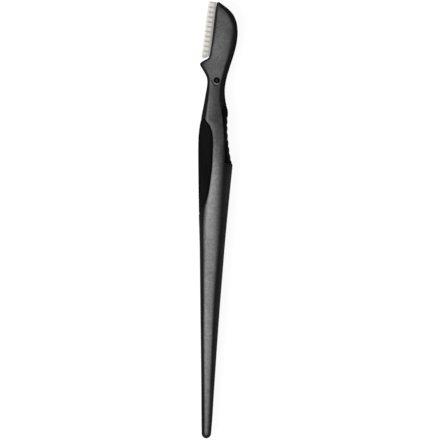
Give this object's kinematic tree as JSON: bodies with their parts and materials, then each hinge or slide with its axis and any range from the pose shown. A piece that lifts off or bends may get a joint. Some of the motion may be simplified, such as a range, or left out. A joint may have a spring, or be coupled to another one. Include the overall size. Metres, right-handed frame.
{
  "type": "eyebrow razor",
  "caption": "Slim eyebrow razor: tapered handle with a smooth thumb pad and a ribbed back strip, a narrow neck, and a flat curved head holding a short guarded blade.",
  "frame": {"origin": "on the flat land of the back, on the handle's axis, half way along the razor", "axes": "+Y along the handle towards the head, -X on the blade side, +Z out of the front face"},
  "size_m": [0.0127, 0.1504, 0.0072],
  "materials": {
    "handle_plastic": "fine textured black",
    "soft_grip": "smooth soft black",
    "inner_plastic": "plain black",
    "blade_steel": "ground and polished",
    "guard_steel": "satin",
    "pin_plastic": "smooth black"
  },
  "bodies": {
    "root": {"handle": "handle_plastic", "thumb_grip": "soft_grip", "rear_grip": "soft_grip", "head_cover": "handle_plastic", "blade_carrier": "inner_plastic", "blade": "blade_steel", "guard": "guard_steel", "neck_pin": "pin_plastic"}
  },
  "joints": []
}
